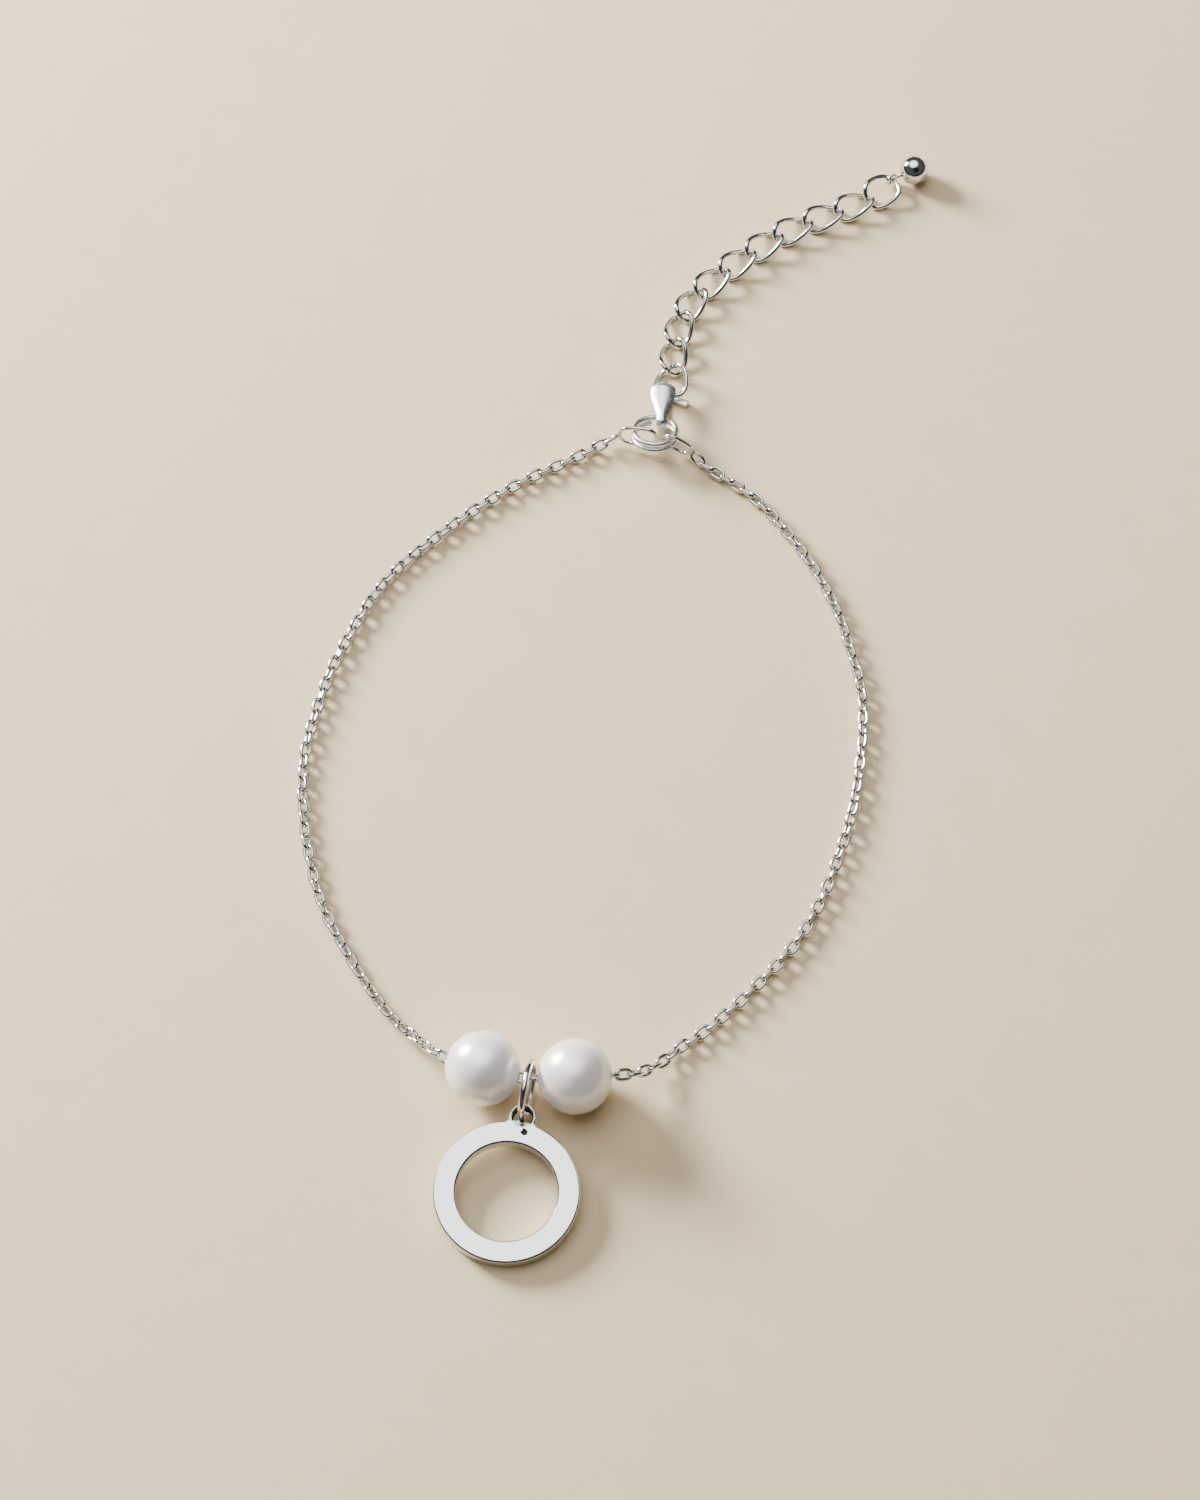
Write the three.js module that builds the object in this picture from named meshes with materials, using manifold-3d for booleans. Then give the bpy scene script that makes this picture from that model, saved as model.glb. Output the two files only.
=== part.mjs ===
// Pearl bracelet lying on a flat surface: a fine cable chain through two pearls, a polished ring
// pendant on a jump ring between them, a split ring that joins the chain's ends, a clasp, and a curb
// extender with a ball at its free end.
// Millimetres, +Z up. The surface is z = 0, the pendant points to -Y and the extender to +Y.

import * as THREE from "three";
import { mergeVertices } from "three/addons/utils/BufferGeometryUtils.js";
import Module from "manifold-3d";

const wasm = await Module();
wasm.setup();

// ---- driving dimensions ----

const CHAIN = { diameter: 1.1, steps: 80, sides: 8 };

const PEARL = { radius: 3.3, hole: 0.85 };
const PEARLS = [
  { name: "pearl_left", x: -12.3, y: -38.95, drillAngle: -15 },
  { name: "pearl_right", x: -4.36, y: -39.7, drillAngle: 2 },
];

// the pendant lies on its far edge and is lifted at the lug by the jump ring that stands in its eye
const PENDANT = {
  x: -10.2, y: -49.57, turn: -11.5, tilt: 4, outer: 6.33, inner: 4.38, thickness: 1.4, chamfer: 0.12,
  lugRadius: 1.2, lugReach: 6.82, fillet: 0.3, eye: 0.86,
};
const DIMPLE = { x: 0.4, reach: 5.58, turn: 25, radius: 0.22, length: 0.36, depth: 0.25 };
const JUMP_RING = { radius: 2.6, wire: 0.6, reach: 8.85, lean: 3 };

// two flat turns of wire, joined by a short slope under the clasp, with the near side raised
const SPLIT_RING = {
  x: 2.93, y: 25.41, z: 1.78, tilt: 20, radius: 1.98, wire: 0.5,
  turnSpacing: 0.66, slopeAt: 72, slopeSpan: 44,
};

const END_LINK = { wire: 0.36, halfHeight: 1.08 };
const END_LINKS = [
  { name: "end_link_left", from: [-0.36, 25.42, 1.55], to: [3.1, 24.81, 2.1], lean: 10 },
  { name: "end_link_right", from: [3.74, 24.6, 2.6], to: [6.2, 23.8, 1.15], lean: -5 },
];

const CLASP = {
  x: 3.66, y: 28.52, turn: -3, length: 5.06, height: 2.4, thickness: 0.35, corner: 0.85,
  headRadius: 1.24, headAt: 1.41, tipRadius: 0.42, strap: 0.7,
};
// the short stub that shows at the clasp's right side
const STUB = { at: 1.95, length: 2.5, width: 0.62, turn: -21, height: 0.5 };

const LINK = { wire: 0.44, halfWidth: 1.2, twist: 45, hook: 0.3, height: 0.72 };
const FULLNESS = 0.35;
// from the clasp to the ball: heading in degrees from +X, and each link's share of the length
const EXTENDER_START = { x: 4.35, y: 30.22 };
const EXTENDER_LINKS = [
  { heading: 86, pitch: 2.68 }, { heading: 84, pitch: 3.12 }, { heading: 76, pitch: 3.12 },
  { heading: 58, pitch: 3.12 }, { heading: 44, pitch: 3.27 }, { heading: 39, pitch: 3.27 },
  { heading: 36, pitch: 3.27 }, { heading: 28, pitch: 3.27 }, { heading: 23, pitch: 3.27 },
  { heading: 26, pitch: 3.27 }, { heading: 33, pitch: 2.8 },
];
const FIRST_LINK = { halfWidth: 1.53, twistAtStart: 8, slope: -4, height: 1.06 };
const LAST_LINK = { halfWidth: 1.4, twistAtEnd: -8, height: 0.92 };

// the ball's eye stands round the last link's wire, this far round it from its tip
const BALL = {
  radius: 1.4, heading: 18, distance: 2.35, eyeAt: 20, eyeHeading: 38, eyeRadius: 0.56, eyeWire: 0.28,
};

// the chain's centre line from the left end link round to the right one, through both pearls
const CHAIN_ROUTE = [
  [-0.72, 25.45, 1.25], [-2.6, 24.6, 0.66], [-5.2, 23.2, 0.56], [-9.4, 21.0, 0.56],
  [-13.0, 18.6, 0.56], [-16.6, 15.7, 0.56], [-20.3, 12.3, 0.56], [-22.7, 9.3, 0.56],
  [-24.8, 5.4, 0.56], [-26.6, 1.3, 0.56], [-27.7, -2.3, 0.56], [-28.7, -6.9, 0.56],
  [-28.9, -10.3, 0.56], [-28.7, -13.6, 0.56], [-28.1, -17.4, 0.56], [-26.8, -22.2, 0.56],
  [-24.9, -26.1, 0.56], [-22.9, -29.5, 0.56], [-20.9, -32.4, 0.6], [-19.3, -34.2, 0.9],
  [-17.7, -35.9, 1.85], [-16.4, -37.35, 2.95], [-15.3, -38.08, 3.28], [-12.3, -38.95, 3.3],
  [-9.6, -39.67, 3.3], [-7.4, -39.81, 3.3], [-4.36, -39.7, 3.3], [-1.4, -39.59, 3.27],
  [0.2, -39.3, 2.85], [1.7, -38.6, 1.9], [3.2, -37.4, 1.0], [4.8, -35.9, 0.62],
  [6.7, -34.5, 0.56], [9.2, -32.3, 0.56], [11.5, -30.0, 0.56], [13.7, -27.6, 0.56],
  [15.6, -25.1, 0.56], [17.3, -21.9, 0.56], [18.7, -18.4, 0.56], [20.4, -13.0, 0.56],
  [21.2, -8.4, 0.56], [21.6, -3.8, 0.56], [21.4, 0.0, 0.56], [20.6, 3.4, 0.56],
  [19.7, 6.8, 0.56], [17.5, 11.7, 0.56], [14.6, 16.2, 0.56], [11.9, 19.4, 0.56],
  [9.3, 21.4, 0.56], [7.4, 22.8, 0.66], [6.5, 23.6, 1.0],
];

// ---- helpers ----

const rad = THREE.MathUtils.degToRad;
const deg = THREE.MathUtils.radToDeg;

// only positions, with shared corners merged, so that the mesh is one closed surface
function closed(geometry) {
  const clean = geometry.clone();
  clean.deleteAttribute("normal");
  clean.deleteAttribute("uv");
  return mergeVertices(clean, 1e-4);
}

function toSolid(geometry) {
  const merged = closed(geometry);
  return new wasm.Manifold(new wasm.Mesh({
    numProp: 3,
    vertProperties: new Float32Array(merged.attributes.position.array),
    triVerts: new Uint32Array(merged.index.array),
  }));
}

function toGeometry(solid) {
  const mesh = solid.getMesh();
  const geometry = new THREE.BufferGeometry();
  geometry.setAttribute("position", new THREE.BufferAttribute(new Float32Array(mesh.vertProperties), 3));
  geometry.setIndex(new THREE.BufferAttribute(new Uint32Array(mesh.triVerts), 1));
  return geometry;
}

function arc(x, y, radius, from, to, steps) {
  return Array.from({ length: steps + 1 }, (_, i) => {
    const angle = rad(from + ((to - from) * i) / steps);
    return new THREE.Vector2(x + radius * Math.cos(angle), y + radius * Math.sin(angle));
  });
}

function circle(radius, sides, x = 0, y = 0) {
  return arc(x, y, radius, 0, 360 - 360 / sides, sides - 1);
}

// round wire along an open curve, with a flat cap at both ends
function openWire(curve, diameter, steps, sides) {
  const section = new THREE.Shape(circle(diameter / 2, sides));
  return new THREE.ExtrudeGeometry(section, { steps, extrudePath: curve, bevelEnabled: false });
}

// an oval in the XY plane, fuller than an ellipse, twisted about its long axis X
class TwistedOval extends THREE.Curve {
  constructor(halfLength, halfWidth, twistAtStart, twistAtEnd) {
    super();
    Object.assign(this, { halfLength, halfWidth, twistAtStart, twistAtEnd });
  }

  getPoint(t, target = new THREE.Vector3()) {
    const angle = 2 * Math.PI * t;
    const along = Math.cos(angle);
    const across = this.halfWidth * Math.sin(angle) * (1 + FULLNESS * along ** 2);
    const twist = rad(THREE.MathUtils.lerp(this.twistAtStart, this.twistAtEnd, (along + 1) / 2));
    return target.set(this.halfLength * along, across * Math.cos(twist), across * Math.sin(twist));
  }
}

function closedLink(halfLength, halfWidth, wire, twistAtStart = 0, twistAtEnd = 0) {
  const path = new TwistedOval(halfLength, halfWidth, twistAtStart, twistAtEnd);
  return new THREE.TubeGeometry(path, 26, wire / 2, 8, true);
}

const polishedSilver = { color: 0xd9dadb, roughness: 0.12, metalness: 1 };
const pearlSkin = { color: 0xf3efec, roughness: 0.28, metalness: 0 };

function part(name, geometry, finish) {
  const mesh = new THREE.Mesh(closed(geometry), new THREE.MeshStandardMaterial(finish));
  mesh.name = name;
  return mesh;
}

// ---- chain and pearls ----

function chain() {
  const route = new THREE.CatmullRomCurve3(CHAIN_ROUTE.map((p) => new THREE.Vector3(...p)));
  route.arcLengthDivisions = 2000;
  return part("chain", openWire(route, CHAIN.diameter, CHAIN.steps, CHAIN.sides), polishedSilver);
}

// a sphere turned about its drilled hole, whose wall closes the profile
function pearl({ name, x, y, drillAngle }) {
  const rim = deg(Math.acos(PEARL.hole / PEARL.radius));
  const skin = arc(0, 0, PEARL.radius, -rim, rim, 18);
  const bead = part(name, new THREE.LatheGeometry([...skin, skin[0].clone()], 32), pearlSkin);
  bead.position.set(x, y, PEARL.radius);
  bead.rotation.z = rad(drillAngle - 90);
  return bead;
}

// ---- ring pendant and jump ring ----

// the disc's and the lug's arcs with a small fillet in each corner between them, lug towards +Y
function pendantOutline() {
  const { outer, lugRadius, lugReach, fillet } = PENDANT;
  const toDisc = outer + fillet;
  const toLug = lugRadius + fillet;
  const y = (toDisc ** 2 - toLug ** 2 + lugReach ** 2) / (2 * lugReach);
  const x = Math.sqrt(toDisc ** 2 - y ** 2);
  const discAngle = deg(Math.atan2(y, x));
  const lugAngle = deg(Math.atan2(y - lugReach, x));
  return [
    ...arc(0, lugReach, lugRadius, lugAngle, 180 - lugAngle, 16),
    ...arc(-x, y, fillet, -lugAngle, -discAngle, 3).slice(1),
    ...arc(0, 0, outer, 180 - discAngle, 360 + discAngle, 72).slice(1),
    ...arc(x, y, fillet, 180 + discAngle, 180 + lugAngle, 3).slice(1, -1),
  ];
}

// a small drop-shaped pit in the lug's face, its point turned away from the eye's axis
function dimpleCutter() {
  const { radius, length } = DIMPLE;
  const side = deg(Math.acos(radius / length));
  const outline = [new THREE.Vector2(0, length), ...arc(0, 0, radius, 90 + side, 450 - side, 12)];
  const cutter = new THREE.ExtrudeGeometry(new THREE.Shape(outline), { depth: 1, bevelEnabled: false });
  cutter.rotateZ(rad(DIMPLE.turn));
  return cutter.translate(DIMPLE.x, DIMPLE.reach, PENDANT.thickness - DIMPLE.depth);
}

function ringPendant() {
  const { inner, thickness, chamfer, lugReach, eye } = PENDANT;
  const outline = new THREE.Shape(pendantOutline());
  outline.holes.push(new THREE.Path(circle(inner, 60)), new THREE.Path(circle(eye, 20, 0, lugReach)));
  const plate = new THREE.ExtrudeGeometry(outline, {
    depth: thickness - 2 * chamfer,
    bevelThickness: chamfer, bevelSize: chamfer, bevelOffset: -chamfer, bevelSegments: 1,
  });
  plate.translate(0, 0, chamfer);
  const dimpled = toSolid(plate).subtract(toSolid(dimpleCutter()));
  const pendant = part("ring_pendant", toGeometry(dimpled), polishedSilver);
  pendant.rotation.x = rad(PENDANT.tilt);
  pendant.position.z = (PENDANT.outer - chamfer) * Math.sin(rad(PENDANT.tilt));
  return pendant;
}

// stands on edge in the eye, in the plane through the lug
function jumpRing() {
  const { radius, wire, reach, lean } = JUMP_RING;
  const ring = new THREE.TorusGeometry(radius, wire / 2, 10, 36);
  ring.rotateY(rad(90 - lean));
  const jump = part("jump_ring", ring, polishedSilver);
  jump.position.set(0, reach, radius * Math.cos(rad(lean)) + wire / 2);
  return jump;
}

function pendantGroup() {
  const group = new THREE.Group();
  group.position.set(PENDANT.x, PENDANT.y, 0);
  group.rotation.z = rad(PENDANT.turn);
  return group.add(ringPendant(), jumpRing());
}

// ---- split ring and the chain's end links ----

// nearly two turns: the lower one, a slope up, and the upper one, which stops short of the slope
class SplitRingCurve extends THREE.Curve {
  getPoint(t, target = new THREE.Vector3()) {
    const { radius, turnSpacing, slopeAt, slopeSpan } = SPLIT_RING;
    const clear = slopeSpan / 2 + 3;
    const turned = THREE.MathUtils.lerp(slopeAt + clear, slopeAt + 720 - clear, t);
    const middle = slopeAt + 360;
    const rise = THREE.MathUtils.smoothstep(turned, middle - slopeSpan / 2, middle + slopeSpan / 2);
    return target.set(
      radius * Math.cos(rad(turned)), radius * Math.sin(rad(turned)), turnSpacing * (rise - 0.5),
    );
  }
}

function splitRing() {
  const { x, y, z, tilt, wire } = SPLIT_RING;
  const ring = part("split_ring", openWire(new SplitRingCurve(), wire, 56, 8), polishedSilver);
  ring.position.set(x, y, z);
  ring.rotation.x = rad(-tilt);
  return ring;
}

// an oval link on edge, between the middles of its two end bends, its top leaning to the near side
function endLink({ name, from, to, lean }) {
  const start = new THREE.Vector3(...from);
  const end = new THREE.Vector3(...to);
  const wire = closedLink(start.distanceTo(end) / 2, END_LINK.halfHeight, END_LINK.wire);
  const link = part(name, wire, polishedSilver);
  const along = end.clone().sub(start).normalize();
  const side = new THREE.Vector3(0, 0, 1).cross(along).normalize();
  const up = along.clone().cross(side);
  link.quaternion.setFromRotationMatrix(new THREE.Matrix4().makeBasis(along, up, side.negate()));
  link.rotateX(rad(-lean));
  link.position.copy(start.add(end).multiplyScalar(0.5));
  return link;
}

// ---- clasp ----

// a closed loop of flat metal: a drop-shaped back, and a narrow strap that returns under it
function clasp() {
  const { length, height, thickness, corner, headRadius, headAt, tipRadius, strap, x, y, turn } = CLASP;
  const roundedBox = (halfLength, halfHeight, radius) => [
    ...arc(halfLength - radius, halfHeight - radius, radius, 0, 90, 6),
    ...arc(radius - halfLength, halfHeight - radius, radius, 90, 180, 6),
    ...arc(radius - halfLength, radius - halfHeight, radius, 180, 270, 6),
    ...arc(halfLength - radius, radius - halfHeight, radius, 270, 360, 6),
  ];
  const strip = new THREE.Shape(roundedBox(length / 2, height / 2, corner));
  const inside = roundedBox(length / 2 - thickness, height / 2 - thickness, corner - thickness);
  strip.holes.push(new THREE.Path(inside));
  const loop = new THREE.ExtrudeGeometry(strip, { depth: 4 * headRadius, bevelEnabled: false });
  loop.translate(0, 0, -2 * headRadius).rotateX(rad(90)).rotateZ(rad(90));

  const tipAt = tipRadius - length / 2;
  const taper = deg(Math.asin((headRadius - tipRadius) / (headAt - tipAt)));
  const drop = new THREE.Shape([
    ...arc(0, headAt, headRadius, -taper, 180 + taper, 24),
    ...arc(0, tipAt, tipRadius, 180 + taper, 360 - taper, 8),
  ]);
  const back = new THREE.ExtrudeGeometry(drop, { depth: height, bevelEnabled: false });
  back.translate(0, 0, height / 2 - thickness - 0.1);
  const under = new THREE.BoxGeometry(strap, 2 * length, 2 * height);
  const blank = toSolid(back).add(toSolid(under));

  const stub = new THREE.BoxGeometry(STUB.length, STUB.width, STUB.height);
  stub.translate(STUB.length / 2, 0, (STUB.height - height) / 2);
  stub.rotateZ(rad(STUB.turn)).translate(0, STUB.at, 0);

  const solid = toSolid(loop).intersect(blank).add(toSolid(stub));
  const closedClasp = part("clasp", toGeometry(solid), polishedSilver);
  closedClasp.position.set(x, y, height / 2);
  closedClasp.rotation.z = rad(turn);
  return closedClasp;
}

// ---- extender and end ball ----

// each link reaches past its joints by the hook length, into its neighbours
function extender() {
  const joint = new THREE.Vector2(EXTENDER_START.x, EXTENDER_START.y);
  const last = EXTENDER_LINKS.length - 1;
  return EXTENDER_LINKS.map(({ heading, pitch }, i) => {
    const size = { ...LINK, twistAtStart: LINK.twist, twistAtEnd: -LINK.twist, slope: 0 };
    Object.assign(size, i === 0 ? FIRST_LINK : i === last ? LAST_LINK : {});
    const halfStep = new THREE.Vector2(pitch / 2, 0).rotateAround(new THREE.Vector2(), rad(heading));
    joint.add(halfStep);
    const halfLength = pitch / 2 + size.hook;
    const wire = closedLink(halfLength, size.halfWidth, size.wire, size.twistAtStart, size.twistAtEnd);
    const name = `extender_link_${String(i + 1).padStart(2, "0")}`;
    const link = part(name, wire.rotateY(rad(-size.slope)), polishedSilver);
    link.position.set(joint.x, joint.y, size.height);
    link.rotation.z = rad(heading);
    joint.add(halfStep);
    return link;
  });
}

// a solid ball on a short neck with a small wire eye, closed round the last link's far end
function endBall(lastLink) {
  const halfLength = EXTENDER_LINKS.at(-1).pitch / 2 + LINK.hook;
  const wire = new TwistedOval(halfLength, LAST_LINK.halfWidth, LINK.twist, LAST_LINK.twistAtEnd);
  const eyeAt = wire.getPoint(BALL.eyeAt / 360);
  lastLink.updateMatrix();
  eyeAt.applyMatrix4(lastLink.matrix);
  const rise = BALL.radius - eyeAt.z;
  const eye = new THREE.TorusGeometry(BALL.eyeRadius, BALL.eyeWire / 2, 8, 20);
  eye.rotateX(rad(90)).rotateZ(rad(BALL.eyeHeading - BALL.heading));
  const centre = new THREE.Vector3(Math.sqrt(BALL.distance ** 2 - rise ** 2), 0, rise);
  const ball = new THREE.SphereGeometry(BALL.radius, 22, 14).translate(...centre);
  const towards = centre.clone().normalize();
  const neckPath = new THREE.LineCurve3(towards.clone().multiplyScalar(BALL.eyeRadius), centre);
  const neck = openWire(neckPath, BALL.eyeWire * 1.4, 1, 8);
  const solid = toSolid(ball).add(toSolid(eye)).add(toSolid(neck));
  const beadEnd = part("end_ball", toGeometry(solid), polishedSilver);
  beadEnd.position.copy(eyeAt);
  beadEnd.rotation.z = rad(BALL.heading);
  return beadEnd;
}

const extenderLinks = extender();
const bracelet = new THREE.Group();
bracelet.add(chain(), ...PEARLS.map(pearl), pendantGroup());
bracelet.add(splitRing(), ...END_LINKS.map(endLink), clasp());
bracelet.add(...extenderLinks, endBall(extenderLinks.at(-1)));

export default bracelet;
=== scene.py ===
import math

import bmesh
import bpy
import numpy as np
from bpy.props import FloatProperty, FloatVectorProperty, PointerProperty
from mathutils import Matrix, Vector


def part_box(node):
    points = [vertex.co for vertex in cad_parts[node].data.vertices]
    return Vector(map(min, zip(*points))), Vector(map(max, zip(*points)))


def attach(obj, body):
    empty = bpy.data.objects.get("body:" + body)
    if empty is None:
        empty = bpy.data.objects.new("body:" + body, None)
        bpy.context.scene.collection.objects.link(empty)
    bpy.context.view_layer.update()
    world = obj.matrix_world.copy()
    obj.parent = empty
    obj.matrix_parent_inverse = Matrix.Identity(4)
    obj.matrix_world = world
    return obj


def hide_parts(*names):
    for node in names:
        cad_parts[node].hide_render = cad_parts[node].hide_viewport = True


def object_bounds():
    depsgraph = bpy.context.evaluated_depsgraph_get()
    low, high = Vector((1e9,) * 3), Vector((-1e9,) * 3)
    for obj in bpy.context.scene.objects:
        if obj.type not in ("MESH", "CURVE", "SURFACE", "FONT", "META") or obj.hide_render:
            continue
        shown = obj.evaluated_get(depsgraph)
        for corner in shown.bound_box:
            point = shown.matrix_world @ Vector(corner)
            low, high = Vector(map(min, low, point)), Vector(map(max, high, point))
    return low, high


bl_info = {
    "name": "Pearl Bracelet",
    "version": (1, 0, 0),
    "blender": (4, 5, 0),
    "location": "View3D > Sidebar > Bracelet",
    "description": "Builds a silver chain bracelet with pearls, a ring pendant, a clasp and an extender",
    "category": "Add Mesh",
}

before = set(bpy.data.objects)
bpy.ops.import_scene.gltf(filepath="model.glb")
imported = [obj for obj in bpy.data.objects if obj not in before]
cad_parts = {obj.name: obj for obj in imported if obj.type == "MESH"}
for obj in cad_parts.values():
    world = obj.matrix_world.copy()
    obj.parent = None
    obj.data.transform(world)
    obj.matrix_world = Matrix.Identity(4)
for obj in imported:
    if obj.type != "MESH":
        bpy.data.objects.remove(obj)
CAD_BOX = [list(corner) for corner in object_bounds()]
MM = 0.001


# ---------------------------------------------------------------- shapes as whole arrays

def unit(vectors):
    """Each vector divided by its length."""
    return vectors / np.linalg.norm(vectors, axis=-1, keepdims=True)


def turned(points, axis, degrees):
    """Points turned about the X, Y or Z axis through the origin, by the right-hand rule."""
    cos, sin = math.cos(math.radians(degrees)), math.sin(math.radians(degrees))
    first, second = {"X": (1, 2), "Y": (2, 0), "Z": (0, 1)}[axis]
    matrix = np.eye(3)
    matrix[first, first] = matrix[second, second] = cos
    matrix[first, second], matrix[second, first] = -sin, sin
    return points @ matrix.T


def angles(count, start=0.0, end=360.0, endpoint=False):
    """Evenly spaced angles in radians from start to end, given in degrees."""
    return np.radians(np.linspace(start, end, count, endpoint=endpoint))


def grid_faces(rows, columns, wrap_rows, wrap_columns):
    """Quads of a rows x columns grid of points, joined round where it wraps."""
    row = np.arange(rows if wrap_rows else rows - 1)[:, None]
    column = np.arange(columns if wrap_columns else columns - 1)[None, :]
    next_row, next_column = (row + 1) % rows, (column + 1) % columns
    quads = np.stack([row * columns + column, row * columns + next_column,
                      next_row * columns + next_column, next_row * columns + column], axis=-1)
    return quads.reshape(-1, 4)


def joined(*shapes):
    """Several (points, quads) pairs as one pair."""
    starts = np.cumsum([0] + [len(points) for points, _ in shapes])
    return (np.vstack([points for points, _ in shapes]),
            np.vstack([quads + start for (_, quads), start in zip(shapes, starts)]))


def tube(path, radius, sides, closed, upright=(0, 0, 1)):
    """Round wire: a circle of the radius carried along the path. The circle's plane is square to the
    path, and its first axis is the upright vector times the path's direction. Open ends are domed."""
    if closed:
        along = unit(np.roll(path, -1, axis=0) - np.roll(path, 1, axis=0))
        radii = np.full(len(path), radius)
    else:
        dome = angles(5, 90, 0)[:, None]
        along = unit(np.gradient(path, axis=0))
        start = path[0] - along[0] * radius * np.sin(dome)
        end = path[-1] + along[-1] * radius * np.sin(dome[::-1])
        narrow = np.maximum(radius * np.cos(dome[:, 0]), 0)
        radii = np.concatenate([narrow, np.full(len(path), radius), narrow[::-1]])
        path = np.vstack([start, path, end])
        along = np.vstack([np.repeat(along[:1], 5, 0), along, np.repeat(along[-1:], 5, 0)])
    side = unit(np.cross(np.broadcast_to(upright, along.shape), along))
    over = np.cross(along, side)
    turn = angles(sides)[None, :, None]
    ring = np.cos(turn) * side[:, None] + np.sin(turn) * over[:, None]
    points = path[:, None] + radii[:, None, None] * ring
    return points.reshape(-1, 3), grid_faces(len(path), sides, closed, True)


def revolved(profile, steps, closed_profile=False):
    """A profile of (radius, height) pairs turned right round the Z axis."""
    turn = angles(steps)[:, None]
    radius, height = profile[:, 0][None], profile[:, 1][None]
    points = np.stack([radius * np.cos(turn), radius * np.sin(turn), height + 0 * turn], axis=-1)
    return points.reshape(-1, 3), grid_faces(steps, len(profile), True, closed_profile)


def oval(half_length, half_width, fullness, twist_start, twist_end, count):
    """An oval in the XY plane: x = a cos t, y = b sin t (1 + fullness cos^2 t), then twisted about X by
    an angle that runs evenly from the start, at -a, to the end, at +a."""
    turn = angles(count)
    along = np.cos(turn)
    across = half_width * np.sin(turn) * (1 + fullness * along ** 2)
    twist = np.radians(twist_start + (twist_end - twist_start) * (along + 1) / 2)
    return np.stack([half_length * along, across * np.cos(twist), across * np.sin(twist)], axis=-1)


def spline(knots, per_span):
    """Centripetal Catmull-Rom curve through the knots: on each span a cubic whose end slopes are the
    non-uniform differences, with the square roots of the knots' distances as the spans' times."""
    ends = np.vstack([2 * knots[0] - knots[1], knots, 2 * knots[-1] - knots[-2]])
    p0, p1, p2, p3 = ends[:-3], ends[1:-2], ends[2:-1], ends[3:]
    d0, d1, d2 = (np.sqrt(np.linalg.norm(b - a, axis=1))[:, None] for a, b in ((p0, p1), (p1, p2), (p2, p3)))
    m1 = ((p1 - p0) / d0 - (p2 - p0) / (d0 + d1) + (p2 - p1) / d1) * d1
    m2 = ((p2 - p1) / d1 - (p3 - p1) / (d1 + d2) + (p3 - p2) / d2) * d1
    t = np.linspace(0, 1, per_span, endpoint=False)[None, :, None]
    p1, p2, m1, m2 = (value[:, None] for value in (p1, p2, m1, m2))
    points = p1 + m1 * t + (3 * (p2 - p1) - 2 * m1 - m2) * t ** 2 + (2 * (p1 - p2) + m1 + m2) * t ** 3
    return np.vstack([points.reshape(-1, 3), knots[-1:]])


def piece(name, shape, material, node, sharp_degrees=None, second=None):
    """Makes one shape in millimetres a smooth closed object in metres, which stands for a CAD node. The
    second finish, if any, is a material and a mask of the faces that have it."""
    points, quads = shape
    mesh = bpy.data.meshes.new(name)
    mesh.vertices.add(len(points))
    mesh.vertices.foreach_set("co", (points * MM).ravel())
    mesh.loops.add(quads.size)
    mesh.loops.foreach_set("vertex_index", quads.ravel())
    mesh.polygons.add(len(quads))
    mesh.polygons.foreach_set("loop_start", np.arange(len(quads)) * 4)
    if second:
        mesh.polygons.foreach_set("material_index", second[1].astype(np.int32))
    mesh.update(calc_edges=True)
    work = bmesh.new()
    work.from_mesh(mesh)
    bmesh.ops.remove_doubles(work, verts=work.verts, dist=2e-7)
    bmesh.ops.recalc_face_normals(work, faces=work.faces)
    work.to_mesh(mesh)
    work.free()
    mesh.shade_smooth()
    if sharp_degrees:
        mesh.set_sharp_from_angle(angle=math.radians(sharp_degrees))
    mesh.materials.append(material)
    if second:
        mesh.materials.append(second[0])
    made = bpy.data.objects.new(name, mesh)
    bpy.context.collection.objects.link(made)
    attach(made, "root")
    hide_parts(node)
    return made


# ---------------------------------------------------------------- materials

def linear(hex_colour):
    """An sRGB hex colour as linear red, green, blue and alpha."""
    srgb = np.array([int(hex_colour[i:i + 2], 16) for i in (0, 2, 4)]) / 255
    value = np.where(srgb <= 0.04045, srgb / 12.92, ((srgb + 0.055) / 1.055) ** 2.4)
    return (*value.tolist(), 1.0)


def add_node(tree, kind, settings=None, links=None):
    """Adds a node, sets its properties and sockets, and links other nodes' outputs to its inputs."""
    node = tree.nodes.new(kind)
    for key, value in (settings or {}).items():
        if key in node.inputs:
            node.inputs[key].default_value = value
        else:
            setattr(node, key, value)
    for key, output in (links or {}).items():
        tree.links.new(output, node.inputs[key])
    return node


def new_material(name):
    """An empty material with its Principled shader and Object coordinates in metres."""
    material = bpy.data.materials.new(name)
    material.use_nodes = True
    tree = material.node_tree
    tree.nodes.clear()
    shader = add_node(tree, "ShaderNodeBsdfPrincipled")
    add_node(tree, "ShaderNodeOutputMaterial", None, {"Surface": shader.outputs["BSDF"]})
    place = add_node(tree, "ShaderNodeTexCoord").outputs["Object"]
    return material, tree, shader, place


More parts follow.
